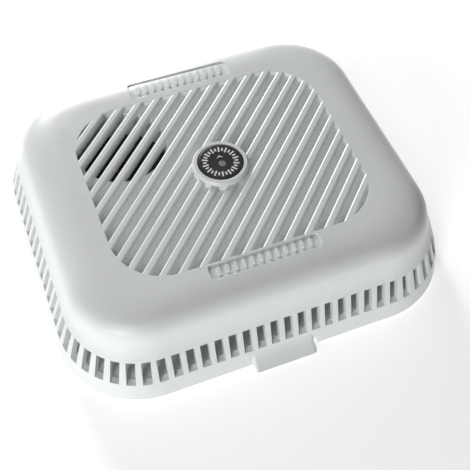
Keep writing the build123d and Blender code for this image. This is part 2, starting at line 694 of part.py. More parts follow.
# ================================================================ gas sensor
with BuildPart() as sensor_can:
    with BuildSketch(Plane.XY.offset(SENSOR_Z)):
        with Locations(SENSOR_CENTRE):
            Circle(SENSOR_R)
    extrude(amount=SENSOR_HEIGHT)
    fillet(sensor_can.edges().filter_by(GeomType.CIRCLE).group_by(Axis.Z)[-1], SENSOR_EDGE)
sensor_can.part.label = "sensor_can"
export_step(sensor_can.part, "parts/sensor_can.step")

# Filter cap pressed over the neck of the cell, with its gas inlet.
with BuildPart() as sensor_cap:
    with BuildSketch(Plane.XY.offset(SENSOR_Z + SENSOR_HEIGHT)):
        with Locations(SENSOR_CENTRE):
            Circle(SENSOR_CAP_R)
            Circle(SENSOR_INLET_R, mode=Mode.SUBTRACT)
    extrude(amount=SENSOR_CAP_HEIGHT)
sensor_cap.part.label = "sensor_cap"
export_step(sensor_cap.part, "parts/sensor_cap.step")

with BuildPart() as sensor_pins:
    with BuildSketch(Plane.XY.offset(BOARD_TOP_Z)):
        with Locations(SENSOR_CENTRE):
            with PolarLocations(SENSOR_PIN_CIRCLE, SENSOR_PINS):
                Circle(SENSOR_PIN_R)
    extrude(amount=SENSOR_Z - BOARD_TOP_Z)
sensor_pins.part.label = "sensor_pins"
export_step(sensor_pins.part, "parts/sensor_pins.step")

# ================================================================ horn
with BuildPart() as horn_body:
    with BuildSketch(Plane.XY.offset(HORN_Z)):
        with Locations(HORN_CENTRE):
            Circle(HORN_R)
    extrude(amount=HORN_TOP_Z - HORN_Z)
    with BuildSketch(Plane.XY.offset(HORN_Z)):
        with Locations(HORN_CENTRE):
            Circle(HORN_R - HORN_WALL)
    extrude(amount=HORN_TOP_Z - HORN_Z - HORN_WALL, mode=Mode.SUBTRACT)
    # ledge that clamps the sounder disc by its nodal ring
    with BuildSketch(Plane.XY.offset(HORN_TOP_Z - HORN_WALL)):
        with Locations(HORN_CENTRE):
            Circle(HORN_CLAMP_R + HORN_CLAMP / 2)
            Circle(HORN_CLAMP_R - HORN_CLAMP / 2, mode=Mode.SUBTRACT)
    extrude(amount=-HORN_CLAMP)
    with Locations((*HORN_CENTRE, HORN_TOP_Z)):
        Hole(PORT_R, depth=HORN_WALL)
    # feet that stand on the board
    with BuildSketch(Plane.XY.offset(BOARD_TOP_Z)):
        with Locations(HORN_CENTRE):
            with PolarLocations(HORN_R - HORN_WALL / 2, HORN_FEET, start_angle=HORN_FOOT_TURN):
                Circle(HORN_WALL / 2)
    extrude(amount=HORN_Z - BOARD_TOP_Z)
horn_body.part.label = "horn_body"
export_step(horn_body.part, "parts/horn_body.step")

disc_top_z = HORN_TOP_Z - HORN_WALL - HORN_CLAMP
ceramic_top_z = disc_top_z - DISC_THICKNESS
with BuildPart() as sounder_disc:
    with BuildSketch(Plane.XY.offset(disc_top_z)):
        with Locations(HORN_CENTRE):
            Circle(DISC_R)
    extrude(amount=-DISC_THICKNESS)
sounder_disc.part.label = "sounder_disc"
export_step(sounder_disc.part, "parts/sounder_disc.step")

with BuildPart() as sounder_ceramic:
    with BuildSketch(Plane.XY.offset(ceramic_top_z)):
        with Locations(HORN_CENTRE):
            Circle(CERAMIC_R)
    extrude(amount=-CERAMIC_THICKNESS)
sounder_ceramic.part.label = "sounder_ceramic"
export_step(sounder_ceramic.part, "parts/sounder_ceramic.step")

# Contact pillars that press up on the disc from the board.
with BuildPart() as horn_contacts:
    for reach, top_z in ((0, ceramic_top_z - CERAMIC_THICKNESS), (CONTACT_REACH, ceramic_top_z)):
        with BuildSketch(Plane.XY.offset(BOARD_TOP_Z)):
            with Locations((HORN_CENTRE[0] + reach, HORN_CENTRE[1])):
                Circle(CONTACT_R)
        extrude(amount=top_z - BOARD_TOP_Z)
horn_contacts.part.label = "horn_contacts"
export_step(horn_contacts.part, "parts/horn_contacts.step")

# ================================================================ battery and its leads
battery_head_y = BATTERY_FOOT_Y + BATTERY_SIZE[1]
battery_mid_z = BATTERY_Z + BATTERY_SIZE[2] / 2
with BuildPart() as battery_case:
    with BuildSketch(Plane.XZ.offset(-BATTERY_FOOT_Y)):
        with Locations((BATTERY_X, battery_mid_z)):
            RectangleRounded(BATTERY_SIZE[0], BATTERY_SIZE[2], BATTERY_CORNER)
    extrude(amount=-BATTERY_SIZE[1])
battery_case.part.label = "battery_case"
export_step(battery_case.part, "parts/battery_case.step")

with BuildPart() as battery_terminals:
    with BuildSketch(Plane.XZ.offset(-battery_head_y)):
        with Locations((BATTERY_X - TERMINAL_REACH, battery_mid_z)):
            Circle(TERMINAL_R)
        with Locations((BATTERY_X + TERMINAL_REACH, battery_mid_z)):
            RegularPolygon(SOCKET_R, 6)
            Circle(SOCKET_BORE_R, mode=Mode.SUBTRACT)
    extrude(amount=-TERMINAL_HEIGHT)
battery_terminals.part.label = "battery_terminals"
export_step(battery_terminals.part, "parts/battery_terminals.step")

clip_foot_y = battery_head_y + CLIP_GAP
with BuildPart() as battery_clip:
    with BuildSketch(Plane.XZ.offset(-clip_foot_y)):
        with Locations((BATTERY_X, battery_mid_z)):
            RectangleRounded(*CLIP_SIZE, BATTERY_CORNER)
    extrude(amount=-CLIP_THICKNESS)
    with BuildSketch(Plane.XZ.offset(-clip_foot_y)):
        with Locations((BATTERY_X, battery_mid_z)):
            with GridLocations(2 * TERMINAL_REACH, 1, 2, 1):
                Circle(CLIP_POCKET_R)
    extrude(amount=-CLIP_POCKET_DEPTH, mode=Mode.SUBTRACT)
battery_clip.part.label = "battery_clip"
export_step(battery_clip.part, "parts/battery_clip.step")

# Each lead leaves the clip straight, arches over the end of the bay and drops to its pad.
clip_back_y = clip_foot_y + CLIP_THICKNESS
lead_runs = {}
for side, out_y, over_x, over_y, over_z, pad_x, pad_y in (
    (-1, *RED_LEAD_OVER, *RED_LEAD_PAD),
    (1, *BLACK_LEAD_OVER, *BLACK_LEAD_PAD),
):
    terminal_x = BATTERY_X + side * TERMINAL_REACH
    lead_runs[side] = [
        (terminal_x, clip_back_y, battery_mid_z),
        (terminal_x, clip_back_y + out_y, battery_mid_z),
        (BATTERY_X + over_x, clip_back_y + over_y, battery_mid_z + over_z),
        (BOARD_X[1] - pad_x, clip_back_y + pad_y, battery_mid_z + LEAD_ARCH),
        (BOARD_X[1] - pad_x, clip_back_y + pad_y, BOARD_TOP_Z),
    ]

with BuildPart() as battery_lead_red:
    with BuildLine() as red_path:
        FilletPolyline(*lead_runs[-1], radius=LEAD_BEND_R)
    with BuildSketch(Plane(origin=red_path.line @ 0, z_dir=red_path.line % 0)):
        Circle(LEAD_R)
    sweep(path=red_path.line)
battery_lead_red.part.label = "battery_lead_red"
export_step(battery_lead_red.part, "parts/battery_lead_red.step")

with BuildPart() as battery_lead_black:
    with BuildLine() as black_path:
        FilletPolyline(*lead_runs[1], radius=LEAD_BEND_R)
    with BuildSketch(Plane(origin=black_path.line @ 0, z_dir=black_path.line % 0)):
        Circle(LEAD_R)
    sweep(path=black_path.line)
battery_lead_black.part.label = "battery_lead_black"
export_step(battery_lead_black.part, "parts/battery_lead_black.step")

# ================================================================ board components
with BuildPart() as controller_chip:
    row_spacing, row_count, pin_length, pin_height = CONTROLLER_PINS
    with Locations((*CONTROLLER_PLACE, BOARD_TOP_Z + CHIP_LIFT + CONTROLLER_SIZE[2] / 2)):
        Box(*CONTROLLER_SIZE)
    with Locations((*CONTROLLER_PLACE, BOARD_TOP_Z + pin_height / 2)):
        with GridLocations(row_spacing, PIN_PITCH, 2, row_count):
            Box(pin_length, PIN_WIDTH, pin_height)
controller_chip.part.label = "controller_chip"
export_step(controller_chip.part, "parts/controller_chip.step")

with BuildPart() as horn_driver_chip:
    row_spacing, row_count, pin_length, pin_height = DRIVER_PINS
    with Locations((*DRIVER_PLACE, BOARD_TOP_Z + CHIP_LIFT + DRIVER_SIZE[2] / 2)):
        Box(*DRIVER_SIZE)
    with Locations((*DRIVER_PLACE, BOARD_TOP_Z + pin_height / 2)):
        with GridLocations(row_spacing, PIN_PITCH, 2, row_count):
            Box(pin_length, PIN_WIDTH, pin_height)
horn_driver_chip.part.label = "horn_driver_chip"
export_step(horn_driver_chip.part, "parts/horn_driver_chip.step")

with BuildPart() as capacitors:
    for places, (radius, height) in (
        (CAPACITOR_LARGE_PLACES, CAPACITOR_LARGE),
        (CAPACITOR_SMALL_PLACES, CAPACITOR_SMALL),
    ):
        with BuildSketch(Plane.XY.offset(BOARD_TOP_Z)):
            with Locations(*places):
                Circle(radius)
        extrude(amount=height)
capacitors.part.label = "capacitors"
export_step(capacitors.part, "parts/capacitors.step")

with BuildPart() as resistors:
    length, width, height = RESISTOR_SIZE
    with BuildSketch(Plane.XY.offset(BOARD_TOP_Z)):
        with Locations(RESISTOR_PLACE):
            with GridLocations(*RESISTOR_GRID):
                Rectangle(length, width)
    extrude(amount=height)
resistors.part.label = "resistors"
export_step(resistors.part, "parts/resistors.step")

# Boost coil that drives the horn: a drum core with two flanges and its winding.
with BuildPart() as boost_coil:
    coil_foot_z = BOARD_TOP_Z
    for radius, height in (COIL_FLANGE, COIL_WINDING, COIL_FLANGE):
        with BuildSketch(Plane.XY.offset(coil_foot_z)):
            with Locations(COIL_PLACE):
                Circle(radius)
        extrude(amount=height)
        coil_foot_z += height
boost_coil.part.label = "boost_coil"
export_step(boost_coil.part, "parts/boost_coil.step")

with BuildPart() as crystal:
    with BuildSketch(Plane.XY.offset(BOARD_TOP_Z)):
        with Locations(CRYSTAL_PLACE):
            SlotOverall(CRYSTAL_SIZE[0], CRYSTAL_SIZE[1], rotation=90)
    extrude(amount=CRYSTAL_SIZE[2])
crystal.part.label = "crystal"
export_step(crystal.part, "parts/crystal.step")

# Rating label on the back of the base, left blank.
with BuildPart() as back_label:
    with BuildSketch(Plane.XY.offset(BASE_Z)):
        with Locations(RATING_LABEL_PLACE):
            RectangleRounded(RATING_LABEL_SIZE[0], RATING_LABEL_SIZE[1], RATING_LABEL_CORNER)
    extrude(amount=-RATING_LABEL_SIZE[2])
back_label.part.label = "back_label"
export_step(back_label.part, "parts/back_label.step")

# ================================================================ mounting plate
lug_foot_z = PLATE_THICKNESS + HOOK_GAP + HOOK_THICKNESS + HOOK_GAP
lug_root_x = hook_x - HOOK_LAP - HOOK_GAP - LUG_ROOT / 2
lug_reach = HOOK_LAP
with BuildPart() as mounting_plate:
    with BuildSketch():
        RectangleRounded(2 * PLATE_HALF_X, 2 * PLATE_HALF_Y, PLATE_CORNER)
        # fixing slots along X and round holes along Y
        with Locations((FIXING_SLOT_SPACING / 2, 0), (-FIXING_SLOT_SPACING / 2, 0)):
            SlotOverall(FIXING_SLOT_LENGTH, 2 * FIXING_HOLE_R, mode=Mode.SUBTRACT)
        # channel for the release catch
        with Locations((0, (CATCH_ROOT_Y + CATCH_GAP - PLATE_HALF_Y - 1) / 2)):
            Rectangle(
                2 * (CATCH_HALF + CATCH_GAP),
                CATCH_ROOT_Y + CATCH_GAP + PLATE_HALF_Y + 1,
                mode=Mode.SUBTRACT,
            )
    extrude(amount=PLATE_THICKNESS)
    chamfer(mounting_plate.faces().sort_by(Axis.Z)[-1].outer_wire().edges(), PLATE_EDGE)
    # four lugs that hang over the hooks of the head
    for side, row in hook_sides:
        with Locations((side * lug_root_x, row * HOOK_Y, (PLATE_THICKNESS + LUG_TOP_Z) / 2)):
            Box(LUG_ROOT, HOOK_LENGTH, LUG_TOP_Z - PLATE_THICKNESS)
        with Locations((side * (lug_root_x + lug_reach / 2), row * HOOK_Y, (lug_foot_z + LUG_TOP_Z) / 2)):
            Box(LUG_ROOT + lug_reach, HOOK_LENGTH, LUG_TOP_Z - lug_foot_z)
mounting_plate.part.label = "mounting_plate"
export_step(mounting_plate.part, "parts/mounting_plate.step")

# Springy tongue of the mounting plate. It bends about its round root, its nose holds the head,
# and its tip is the press pad.
catch_top_z = CATCH_Z + CATCH_THICKNESS
with BuildPart() as release_catch:
    with BuildSketch(Plane.YZ.offset(-CATCH_HALF)):
        with BuildLine():
            ThreePointArc(
                (CATCH_ROOT_Y - CATCH_THICKNESS / 2, CATCH_Z),
                (CATCH_ROOT_Y, CATCH_Z + CATCH_THICKNESS / 2),
                (CATCH_ROOT_Y - CATCH_THICKNESS / 2, catch_top_z),
            )
            Polyline(
                (CATCH_ROOT_Y - CATCH_THICKNESS / 2, catch_top_z),
                (CATCH_NOSE_Y + CATCH_NOSE_SLOPE, catch_top_z),
                (CATCH_NOSE_Y + CATCH_NOSE_WIDTH / 2, CATCH_NOSE_TOP_Z),
                (CATCH_NOSE_Y - CATCH_NOSE_WIDTH / 2, CATCH_NOSE_TOP_Z),
                (CATCH_NOSE_Y - CATCH_NOSE_WIDTH / 2, catch_top_z),
                (CATCH_TIP_Y, catch_top_z),
                (CATCH_TIP_Y, CATCH_Z),
                (CATCH_ROOT_Y - CATCH_THICKNESS / 2, CATCH_Z),
            )
        make_face()
    extrude(amount=2 * CATCH_HALF)
release_catch.part.label = "release_catch"
export_step(release_catch.part, "parts/release_catch.step")
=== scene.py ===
import bpy
import json
import math
from mathutils import Matrix, Vector


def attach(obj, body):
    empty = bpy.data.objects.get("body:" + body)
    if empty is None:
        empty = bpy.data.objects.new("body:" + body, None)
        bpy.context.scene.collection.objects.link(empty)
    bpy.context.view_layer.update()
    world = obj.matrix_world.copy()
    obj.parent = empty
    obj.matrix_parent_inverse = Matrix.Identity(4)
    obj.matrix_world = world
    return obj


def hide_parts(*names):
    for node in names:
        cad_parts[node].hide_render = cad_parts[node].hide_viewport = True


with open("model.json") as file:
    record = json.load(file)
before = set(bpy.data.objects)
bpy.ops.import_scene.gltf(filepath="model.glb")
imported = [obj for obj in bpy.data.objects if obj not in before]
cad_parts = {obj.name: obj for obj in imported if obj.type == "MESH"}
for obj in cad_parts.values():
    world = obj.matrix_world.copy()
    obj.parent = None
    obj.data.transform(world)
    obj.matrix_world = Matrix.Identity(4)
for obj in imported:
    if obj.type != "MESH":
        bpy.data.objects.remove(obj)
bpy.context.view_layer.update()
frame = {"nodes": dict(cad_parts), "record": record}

# Lengths of the cover below are in millimetres, and become metres when a mesh is made.
MM = 0.001

# ---------------------------------------------------------------- cover
RIM_HALF = (70.5, 61.2)
RIM_CORNER = 29.5
RIM_Z = 1.0
SLOT_FOOT_Z = 8.4
CREASE_Z = 17.8
FACE_Z = 32.4
FOOT_INSET = 1.4
CREASE_INSET = 4.65
SHOULDER_RUN = 16.2
SHOULDER_BEND = 0.36
SHOULDER_LEAN = math.radians(30)
CREASE_PULL = 8.5
FACE_PULL = 17.4
SHOULDER_STEPS = 40
BAND_STEPS = 6
CORNER_STEPS = 40
SKIN = 2.4
FACE_SKIN = 2.8

SLOT_COUNT = 92
SLOT_WIDTH = 3.0
SLOT_TOP_Z = CREASE_Z - 0.1
SLOT_DEPTH = 9.0

PANEL_CENTRE = (0.3, -0.1)
PANEL_HALF = (45.7, 37.4)
PANEL_CORNER = 18.4
GROOVE_PITCH = 5.15
GROOVE_OFFSET = -0.15
GROOVE_HALF = 1.15
GROOVE_ROUND = 0.75
GROOVE_DEPTH = 1.8
GROOVE_FOOT_ROUND = 0.3
GROOVE_REACH = 70.0
ROUND_STEPS = 6                   # points of a rib's rounded edge
HORN_CENTRE = (-29.4, 21.1)
WINDOW_R = 16.0
SKIRT_R = 16.4
SKIRT_WALL = 1.6
SKIRT_FOOT_Z = 18.6
WINDOW_OVERCUT = 0.5

BUTTON_CENTRE = (0.3, 0.0)
BUTTON_HOLE_R = 8.1
COLLAR_R = 10.0
COLLAR_TOP_R = 9.2
COLLAR_HEIGHT = 1.2
COLLAR_EDGE = 0.3
COLLAR_SINK = 1.0
HOLE_BELOW = 8.0                  # the button hole is cut this far below and above the face
HOLE_ABOVE = 4.0

LABEL_X = 0.3
LABEL_HALF = 19.2
LABEL_CORNER = 1.6
LABEL_DEPTH = 0.5
LABEL_SPANS = ((-43.6, -37.9), (39.9, 48.2))
PIP_PITCH = 2.9
PIP_WIDTH = 1.1
PIP_MARGIN = 1.5
PIP_LENGTH_MAX = 4.0
LABEL_STEPS = 8
PIP_STEPS = 6
PIP_ROUND_GAP = 0.01              # keeps a flat between the two round ends of a pip

LIP_HALF = 11.3
LIP_REACH = 3.5
LIP_TOP_Z = 8.2
LIP_SINK = 0.15
LIP_STEPS = 10
LIP_CORNER_STEPS = 8
LIP_CORNER = 1.4
LIP_ROOT_Y = -56.0
LIP_WALL = 1.7
NOTCH_TOP_Z = 4.6

OVERCUT = 1.0                     # cutters run this far past a surface
SKY_Z = 60.0                      # a height above the whole alarm
SHARP_ANGLE = math.radians(32)    # edges steeper than this stay sharp in shading
FLOOR_HALF = 3000.0


def build_object(name, points, faces):
    """A mesh object from points in millimetres."""
    mesh = bpy.data.meshes.new(name)
    mesh.from_pydata([[value * MM for value in point] for point in points], [], faces)
    mesh.update()
    thing = bpy.data.objects.new(name, mesh)
    bpy.context.scene.collection.objects.link(thing)
    return thing


def skin_rings(name, rings):
    """A closed solid through rings of equally many points, from the lowest ring up."""
    count = len(rings[0])
    points = [point for ring in rings for point in ring]
    faces = [list(reversed(range(count)))]
    for row in range(len(rings) - 1):
        for index in range(count):
            after = (index + 1) % count
            low, high = row * count, (row + 1) * count
            faces.append((low + index, low + after, high + after, high + index))
    faces.append([(len(rings) - 1) * count + index for index in range(count)])
    return build_object(name, points, faces)


def oblong(half_x, half_y, corner, z, centre=(0, 0), steps=CORNER_STEPS):
    """Points of a rounded rectangle at height z, counter-clockwise."""
    points = []
    for quarter, (side_x, side_y) in enumerate(((1, 1), (-1, 1), (-1, -1), (1, -1))):
        for step in range(steps + 1):
            turn = math.pi / 2 * (quarter + step / steps)
            points.append((
                centre[0] + side_x * (half_x - corner) + corner * math.cos(turn),
                centre[1] + side_y * (half_y - corner) + corner * math.sin(turn),
                z,
            ))
    return points


def circle(radius, z, centre, steps=96):
    """Points of a circle at height z, counter-clockwise."""
    return [
        (
            centre[0] + radius * math.cos(2 * math.pi * step / steps),
            centre[1] + radius * math.sin(2 * math.pi * step / steps),
            z,
        )
        for step in range(steps)
    ]


def join_objects(name, things):
    """One object that holds all the given solids."""
    points, faces = [], []
    for thing in things:
        first = len(points)
        points.extend([vertex.co / MM for vertex in thing.data.vertices])
        faces.extend([[first + index for index in face.vertices] for face in thing.data.polygons])
        bpy.data.objects.remove(thing)
    return build_object(name, points, faces)


def combine(target, tool, operation):
    """Adds, cuts or intersects the tool solid, then takes the tool away."""
    change = target.modifiers.new("combine", "BOOLEAN")
    change.operation = operation
    change.solver = "MANIFOLD"
    change.object = tool
    bpy.context.view_layer.update()
    done = bpy.data.meshes.new_from_object(target.evaluated_get(bpy.context.evaluated_depsgraph_get()))
    target.modifiers.clear()
    target.data = done
    bpy.data.objects.remove(tool)
    return target


def band_rings(skin, foot_z):
    """Rings of the slotted band, from its foot to just below the crease."""
    rings = []
    for low, high in ((foot_z, SLOT_FOOT_Z), (SLOT_FOOT_Z, CREASE_Z)):
        for step in range(BAND_STEPS):
            z = low + (high - low) * step / BAND_STEPS
            if high == SLOT_FOOT_Z:
                inset = FOOT_INSET * (z - RIM_Z) / (SLOT_FOOT_Z - RIM_Z)
            else:
                share = (z - SLOT_FOOT_Z) / (CREASE_Z - SLOT_FOOT_Z)
                inset = FOOT_INSET + (CREASE_INSET - FOOT_INSET) * share
            rings.append(housing_ring(inset, inset, skin, z))
    return rings


def housing_ring(inset, corner_inset, skin, z):
    """One ring of the housing, skin deep inside it."""
    return oblong(
        RIM_HALF[0] - inset - skin, RIM_HALF[1] - inset - skin, RIM_CORNER - corner_inset - skin, z
    )


def shoulder_rings(skin, face_skin):
    """The shoulder follows one cubic curve from the crease to the flat face."""
    rise = FACE_Z - CREASE_Z
    insets = (0, CREASE_PULL * math.sin(SHOULDER_LEAN), SHOULDER_RUN - FACE_PULL, SHOULDER_RUN)
    heights = (0, CREASE_PULL * math.cos(SHOULDER_LEAN), rise, rise)
    rings = []
    for step in range(SHOULDER_STEPS + 1):
        share = step / SHOULDER_STEPS
        rest = 1 - share
        weights = (rest**3, 3 * rest**2 * share, 3 * rest * share**2, share**3)
        inset = sum(weight * value for weight, value in zip(weights, insets))
        height = sum(weight * value for weight, value in zip(weights, heights))
        rings.append(housing_ring(
            CREASE_INSET + inset,
            CREASE_INSET + SHOULDER_BEND * inset,
            skin * rest,
            CREASE_Z + height * (rise - face_skin) / rise,
        ))
    return rings


def housing(name, skin, face_skin, foot_z=RIM_Z):
    """The whole housing as a solid, skin deep inside its outer surface."""
    return skin_rings(name, band_rings(skin, foot_z) + shoulder_rings(skin, face_skin))


def slot_cutters():
    """One upright box per slot, evenly round the band."""
    skin = SKIN / 2
    inset = (FOOT_INSET + CREASE_INSET) / 2
    half_x = RIM_HALF[0] - inset - skin
    half_y = RIM_HALF[1] - inset - skin
    corner = RIM_CORNER - FOOT_INSET - skin
    run_x, run_y, bend = half_x - corner, half_y - corner, corner * math.pi / 2
    quarter = run_x + bend + run_y
    boxes = []
    for index in range(SLOT_COUNT // 4):
        along = (index + 0.5) * 4 * quarter / SLOT_COUNT
        if along < run_x:
            x, y, heading = along, half_y, math.pi / 2
        elif along < run_x + bend:
            heading = math.pi / 2 - (along - run_x) / corner
            x, y = run_x + corner * math.cos(heading), run_y + corner * math.sin(heading)
        else:
            x, y, heading = half_x, run_y - (along - run_x - bend), 0.0
        for side_x, side_y in ((1, 1), (-1, 1), (-1, -1), (1, -1)):
            out = Vector((side_x * math.cos(heading), side_y * math.sin(heading)))
            across = Vector((-out.y, out.x)) * SLOT_WIDTH / 2
            place = Vector((side_x * x, side_y * y))
            reach = out * SLOT_DEPTH / 2
            corners = (
                place - reach - across,
                place + reach - across,
                place + reach + across,
                place - reach + across,
            )
            rings = [[(*corner, z) for corner in corners] for z in (SLOT_FOOT_Z, SLOT_TOP_Z)]
            boxes.append(skin_rings("slot", rings))
    return join_objects("slots", boxes)


def groove_stripes(section):
    """Diagonal bars across the panel; section is their outline as (across, height)."""
    bars = []
    count = int(GROOVE_REACH / GROOVE_PITCH)
    run = Vector((1, 1)).normalized() * GROOVE_REACH
    across = Vector((1, -1)).normalized()
    for index in range(-count, count + 1):
        middle = across * (GROOVE_OFFSET + GROOVE_PITCH * index)
        rings = []
        for end in (run, -run):
            rings.append([(*(middle + end + across * offset), z) for offset, z in section])
        bars.append(skin_rings("stripe", rings))
    return join_objects("stripes", bars)


def groove_section():
    """A groove with rounded shoulders, so that the ribs between are convex."""
    floor_z = FACE_Z - GROOVE_DEPTH
    side = [(GROOVE_HALF - GROOVE_FOOT_ROUND, floor_z), (GROOVE_HALF, floor_z + GROOVE_FOOT_ROUND)]
    for step in range(ROUND_STEPS + 1):
        turn = math.pi / 2 * step / ROUND_STEPS
        side.append((
            GROOVE_HALF + GROOVE_ROUND * (1 - math.cos(turn)),
            FACE_Z - GROOVE_ROUND * (1 - math.sin(turn)),
        ))
    side.append((GROOVE_HALF + GROOVE_ROUND, FACE_Z + 2 * OVERCUT))
    return side + [(-offset, z) for offset, z in reversed(side)]


def panel_block(name, low_z, high_z):
    rings = [oblong(*PANEL_HALF, PANEL_CORNER, z, PANEL_CENTRE) for z in (low_z, high_z)]
    return skin_rings(name, rings)


def column(name, radius, low_z, high_z, centre):
    return skin_rings(name, [circle(radius, z, centre) for z in (low_z, high_z)])


def label_cutters():
    """Shallow label panels; the pips in them stay standing."""
    blocks, pips = [], []
    count = int(2 * (LABEL_HALF - PIP_MARGIN) / PIP_PITCH)
    for low_y, high_y in LABEL_SPANS:
        middle = (low_y + high_y) / 2
        rings = [
            oblong(LABEL_HALF, (high_y - low_y) / 2, LABEL_CORNER, z, (LABEL_X, middle), LABEL_STEPS)
            for z in (CREASE_Z, FACE_Z + OVERCUT)
        ]
        blocks.append(skin_rings("label", rings))
        length = min(high_y - low_y - 2 * PIP_MARGIN, PIP_LENGTH_MAX)
        for index in range(count):
            place = (LABEL_X + PIP_PITCH * (index - (count - 1) / 2), middle)
            rings = [
                oblong(PIP_WIDTH / 2, length / 2, PIP_WIDTH / 2 - PIP_ROUND_GAP, z, place, PIP_STEPS)
                for z in (CREASE_Z - OVERCUT, FACE_Z + 2 * OVERCUT)
            ]
            pips.append(skin_rings("pip", rings))
    panels = combine(join_objects("labels", blocks), join_objects("pips", pips), "DIFFERENCE")
    return combine(panels, housing("floor", LABEL_DEPTH, LABEL_DEPTH), "DIFFERENCE")


def lip_solid():
    """The finger lip flares out of the band towards the rim."""
    rings = []
    for step in range(LIP_STEPS + 1):
        climb = step / LIP_STEPS
        z = RIM_Z + climb * (LIP_TOP_Z - RIM_Z)
        band_y = -RIM_HALF[1] + FOOT_INSET * (z - RIM_Z) / (SLOT_FOOT_Z - RIM_Z)
        lip_y = band_y + LIP_SINK * climb - LIP_REACH * (1 - climb)**2
        centre = (0, (lip_y + LIP_ROOT_Y) / 2)
        rings.append(oblong(LIP_HALF, (LIP_ROOT_Y - lip_y) / 2, LIP_CORNER, z, centre, LIP_CORNER_STEPS))
    return skin_rings("lip", rings)


def notch_cutter():
    """Space behind the lip, open at its +X end and through the rim."""
    foot_y = -RIM_HALF[1] - LIP_REACH + LIP_WALL
    outline = (
        (LIP_ROOT_Y, NOTCH_TOP_Z),
        (-RIM_HALF[1], NOTCH_TOP_Z),
        (foot_y, RIM_Z + LIP_WALL / 2),
        (foot_y, 0),
        (LIP_ROOT_Y, 0),
    )
    left = -LIP_HALF + LIP_WALL
    return skin_rings("notch", [[(x, y, z) for y, z in outline] for x in (left, left + 2 * LIP_HALF)])


def build_cover():
    """The cover's solids, added and cut in turn, in place of the CAD cover."""
    cover = housing("cover_shell", 0, 0)
    collar = skin_rings("collar", [
        circle(COLLAR_R, FACE_Z - COLLAR_SINK, BUTTON_CENTRE),
        circle(COLLAR_R, FACE_Z, BUTTON_CENTRE),
        circle(COLLAR_TOP_R + COLLAR_EDGE, FACE_Z + COLLAR_HEIGHT - COLLAR_EDGE, BUTTON_CENTRE),
        circle(COLLAR_TOP_R, FACE_Z + COLLAR_HEIGHT, BUTTON_CENTRE),
    ])
    combine(cover, lip_solid(), "UNION")
    combine(cover, housing("void", SKIN, FACE_SKIN, RIM_Z - OVERCUT), "DIFFERENCE")
    combine(cover, notch_cutter(), "DIFFERENCE")
    skirt = column("skirt", SKIRT_R + SKIRT_WALL, SKIRT_FOOT_Z, FACE_Z - FACE_SKIN / 2, HORN_CENTRE)
    bore = column("bore", SKIRT_R, SKIRT_FOOT_Z - OVERCUT, FACE_Z, HORN_CENTRE)
    combine(cover, combine(skirt, bore, "DIFFERENCE"), "UNION")
    combine(cover, slot_cutters(), "DIFFERENCE")
    grooves = combine(groove_stripes(groove_section()), panel_block("panel", 0, SKY_Z), "INTERSECT")
    combine(grooves, column("keep", COLLAR_R, 0, SKY_Z, BUTTON_CENTRE), "DIFFERENCE")
    combine(cover, grooves, "DIFFERENCE")
    through = [(GROOVE_HALF, FACE_Z - FACE_SKIN - WINDOW_OVERCUT), (GROOVE_HALF, FACE_Z)]
    through += [(-offset, z) for offset, z in reversed(through)]
    window = combine(groove_stripes(through), panel_block("panel", 0, SKY_Z), "INTERSECT")
    combine(window, column("round", WINDOW_R, 0, SKY_Z, HORN_CENTRE), "INTERSECT")
    combine(cover, window, "DIFFERENCE")
    combine(cover, label_cutters(), "DIFFERENCE")
    combine(cover, collar, "UNION")
    hole = column("hole", BUTTON_HOLE_R, FACE_Z - HOLE_BELOW, FACE_Z + HOLE_ABOVE, BUTTON_CENTRE)
    combine(cover, hole, "DIFFERENCE")
    cover.data.shade_smooth()
    cover.data.set_sharp_from_angle(angle=SHARP_ANGLE)
    cover.modifiers.new("even_shading", "WEIGHTED_NORMAL").keep_sharp = True
    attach(cover, "head")
    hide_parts("front_cover")
    return cover


# ---------------------------------------------------------------- materials
def start_material(name):
    material = bpy.data.materials.new(name)
    material.use_nodes = True
    tree = material.node_tree
    shader = tree.nodes["Principled BSDF"]
    place = tree.nodes.new("ShaderNodeTexCoord")
    return material, tree, shader, place.outputs["Object"]


def noise(tree, place, scale, detail=4.0, stretch=(1, 1, 1)):
    """Noise in object space, as the socket of its 0 to 1 value. Scale is in features per metre."""
    mapping = tree.nodes.new("ShaderNodeMapping")
    mapping.inputs["Scale"].default_value = stretch
    tree.links.new(place, mapping.inputs["Vector"])
    texture = tree.nodes.new("ShaderNodeTexNoise")
    texture.inputs["Scale"].default_value = scale
    texture.inputs["Detail"].default_value = detail
    tree.links.new(mapping.outputs["Vector"], texture.inputs["Vector"])
    return texture.outputs["Fac"]


def spread(tree, value, low, high, start=0.3, end=0.7):
    """Maps a 0 to 1 value onto low to high."""
    node = tree.nodes.new("ShaderNodeMapRange")
    node.inputs["From Min"].default_value = start
    node.inputs["From Max"].default_value = end
    node.inputs["To Min"].default_value = low
    node.inputs["To Max"].default_value = high
    tree.links.new(value, node.inputs["Value"])
    return node.outputs["Result"]


def blend(tree, value, first, second):
    """Mixes two colours, or colour sockets, by a 0 to 1 value."""
    node = tree.nodes.new("ShaderNodeMix")
    node.data_type = "RGBA"
    for key, colour in (("A", first), ("B", second)):
        socket = next(s for s in node.inputs if s.name == key and s.type == "RGBA")
        if isinstance(colour, tuple):
            socket.default_value = (*colour, 1)
        else:
            tree.links.new(colour, socket)
    tree.links.new(value, node.inputs[0])
    return next(s for s in node.outputs if s.type == "RGBA")


